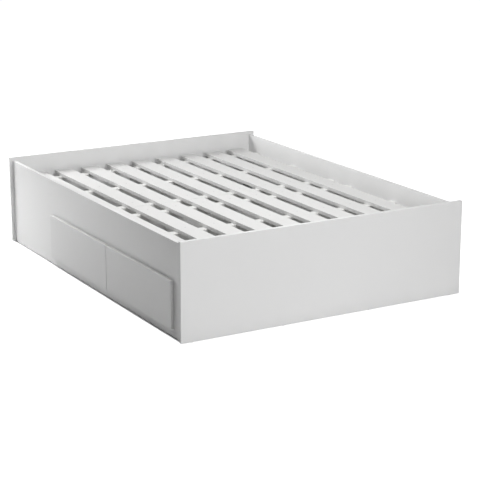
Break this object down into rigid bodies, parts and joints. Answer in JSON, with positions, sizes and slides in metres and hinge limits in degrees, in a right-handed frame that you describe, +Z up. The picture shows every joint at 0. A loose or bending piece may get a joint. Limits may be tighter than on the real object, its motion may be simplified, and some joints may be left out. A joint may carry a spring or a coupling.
{
  "type": "platform bed with storage drawers",
  "caption": "Low platform bed with flat panel ends, overlay-front storage drawers along both sides on roller runners, and a recessed deck of lengthwise slats.",
  "frame": {"origin": "middle of the bed on the floor", "axes": "+Y along the bed towards the head end, +X across the bed towards the right-hand drawers, +Z up"},
  "size_m": [1.59, 2.09, 0.487],
  "materials": {
    "panel_lacquer": "satin white lacquer on board",
    "front_lacquer": "satin white lacquer on board",
    "box_melamine": "white melamine, fine texture",
    "bottom_board": "white-faced hardboard",
    "slat_wood": "white-stained, fine grain",
    "batten_wood": "white-stained, fine grain",
    "beam_wood": "pale planed wood",
    "runner_steel": "cream-white epoxy coat",
    "roller_nylon": "moulded nylon",
    "bracket_steel": "zinc plated",
    "screw_steel": "zinc plated",
    "glide_plastic": "moulded grey plastic"
  },
  "bodies": {
    "frame": {"head_panel": "panel_lacquer", "foot_panel": "panel_lacquer", "left_side_panel": "panel_lacquer", "right_side_panel": "panel_lacquer", "foot_partition": "box_melamine", "middle_partition": "box_melamine", "head_partition": "box_melamine", "left_ledger": "beam_wood", "right_ledger": "beam_wood", "centre_beam": "beam_wood", "cross_beams": "beam_wood", "beam_packers": "beam_wood", "head_slats": "slat_wood", "foot_slats": "slat_wood", "head_battens": "batten_wood", "foot_battens": "batten_wood", "centre_leg": "beam_wood", "levelling_foot": "glide_plastic", "beam_hangers": "bracket_steel", "corner_brackets": "bracket_steel", "bracket_screws": "screw_steel", "wood_screws": "screw_steel", "dowels": "beam_wood", "floor_glides": "glide_plastic", "foot_left_tracks": "runner_steel", "head_left_tracks": "runner_steel", "foot_right_tracks": "runner_steel", "head_right_tracks": "runner_steel"},
    "foot_left_drawer": {"foot_left_front": "front_lacquer", "foot_left_sides": "box_melamine", "foot_left_back": "box_melamine", "foot_left_bottom": "bottom_board", "foot_left_runners": "runner_steel", "foot_left_fixings": "screw_steel"},
    "head_left_drawer": {"head_left_front": "front_lacquer", "head_left_sides": "box_melamine", "head_left_back": "box_melamine", "head_left_bottom": "bottom_board", "head_left_runners": "runner_steel", "head_left_fixings": "screw_steel"},
    "foot_right_drawer": {"foot_right_front": "front_lacquer", "foot_right_sides": "box_melamine", "foot_right_back": "box_melamine", "foot_right_bottom": "bottom_board", "foot_right_runners": "runner_steel", "foot_right_fixings": "screw_steel"},
    "head_right_drawer": {"head_right_front": "front_lacquer", "head_right_sides": "box_melamine", "head_right_back": "box_melamine", "head_right_bottom": "bottom_board", "head_right_runners": "runner_steel", "head_right_fixings": "screw_steel"},
    "foot_left_track_rollers_body": {"foot_left_track_rollers": "roller_nylon"},
    "foot_left_runner_rollers_body": {"foot_left_runner_rollers": "roller_nylon"},
    "head_left_track_rollers_body": {"head_left_track_rollers": "roller_nylon"},
    "head_left_runner_rollers_body": {"head_left_runner_rollers": "roller_nylon"},
    "foot_right_track_rollers_body": {"foot_right_track_rollers": "roller_nylon"},
    "foot_right_runner_rollers_body": {"foot_right_runner_rollers": "roller_nylon"},
    "head_right_track_rollers_body": {"head_right_track_rollers": "roller_nylon"},
    "head_right_runner_rollers_body": {"head_right_runner_rollers": "roller_nylon"}
  },
  "joints": [
    {"name": "foot_left_slide", "type": "slide", "parent": "frame", "child": "foot_left_drawer", "axis": [-1, 0, 0], "range_m": [0, 0.45]},
    {"name": "head_left_slide", "type": "slide", "parent": "frame", "child": "head_left_drawer", "axis": [-1, 0, 0], "range_m": [0, 0.45]},
    {"name": "foot_right_slide", "type": "slide", "parent": "frame", "child": "foot_right_drawer", "axis": [1, 0, 0], "range_m": [0, 0.45]},
    {"name": "head_right_slide", "type": "slide", "parent": "frame", "child": "head_right_drawer", "axis": [1, 0, 0], "range_m": [0, 0.45]},
    {"name": "foot_left_track_rollers_spin", "type": "hinge", "parent": "frame", "child": "foot_left_track_rollers_body", "pos_m": [-0.7425, -0.5885, 0.0745], "axis": [0, -1, 0], "range_deg": [-5, 2350]},
    {"name": "foot_left_runner_rollers_spin", "type": "hinge", "parent": "foot_left_drawer", "child": "foot_left_runner_rollers_body", "pos_m": [-0.191, -0.5885, 0.0745], "axis": [0, -1, 0], "range_deg": [-5, 2350]},
    {"name": "head_left_track_rollers_spin", "type": "hinge", "parent": "frame", "child": "head_left_track_rollers_body", "pos_m": [-0.7425, 0.1085, 0.0745], "axis": [0, -1, 0], "range_deg": [-5, 2350]},
    {"name": "head_left_runner_rollers_spin", "type": "hinge", "parent": "head_left_drawer", "child": "head_left_runner_rollers_body", "pos_m": [-0.191, 0.1085, 0.0745], "axis": [0, -1, 0], "range_deg": [-5, 2350]},
    {"name": "foot_right_track_rollers_spin", "type": "hinge", "parent": "frame", "child": "foot_right_track_rollers_body", "pos_m": [0.7425, -0.5885, 0.0745], "axis": [0, 1, 0], "range_deg": [-5, 2350]},
    {"name": "foot_right_runner_rollers_spin", "type": "hinge", "parent": "foot_right_drawer", "child": "foot_right_runner_rollers_body", "pos_m": [0.191, -0.5885, 0.0745], "axis": [0, 1, 0], "range_deg": [-5, 2350]},
    {"name": "head_right_track_rollers_spin", "type": "hinge", "parent": "frame", "child": "head_right_track_rollers_body", "pos_m": [0.7425, 0.1085, 0.0745], "axis": [0, 1, 0], "range_deg": [-5, 2350]},
    {"name": "head_right_runner_rollers_spin", "type": "hinge", "parent": "head_right_drawer", "child": "head_right_runner_rollers_body", "pos_m": [0.191, 0.1085, 0.0745], "axis": [0, 1, 0], "range_deg": [-5, 2350]}
  ],
  "couplings": [
    {"joint": "foot_left_track_rollers_spin", "follows": "foot_left_slide", "rad_per_m": 90.909},
    {"joint": "foot_left_runner_rollers_spin", "follows": "foot_left_slide", "rad_per_m": 90.909},
    {"joint": "head_left_track_rollers_spin", "follows": "head_left_slide", "rad_per_m": 90.909},
    {"joint": "head_left_runner_rollers_spin", "follows": "head_left_slide", "rad_per_m": 90.909},
    {"joint": "foot_right_track_rollers_spin", "follows": "foot_right_slide", "rad_per_m": 90.909},
    {"joint": "foot_right_runner_rollers_spin", "follows": "foot_right_slide", "rad_per_m": 90.909},
    {"joint": "head_right_track_rollers_spin", "follows": "head_right_slide", "rad_per_m": 90.909},
    {"joint": "head_right_runner_rollers_spin", "follows": "head_right_slide", "rad_per_m": 90.909}
  ]
}
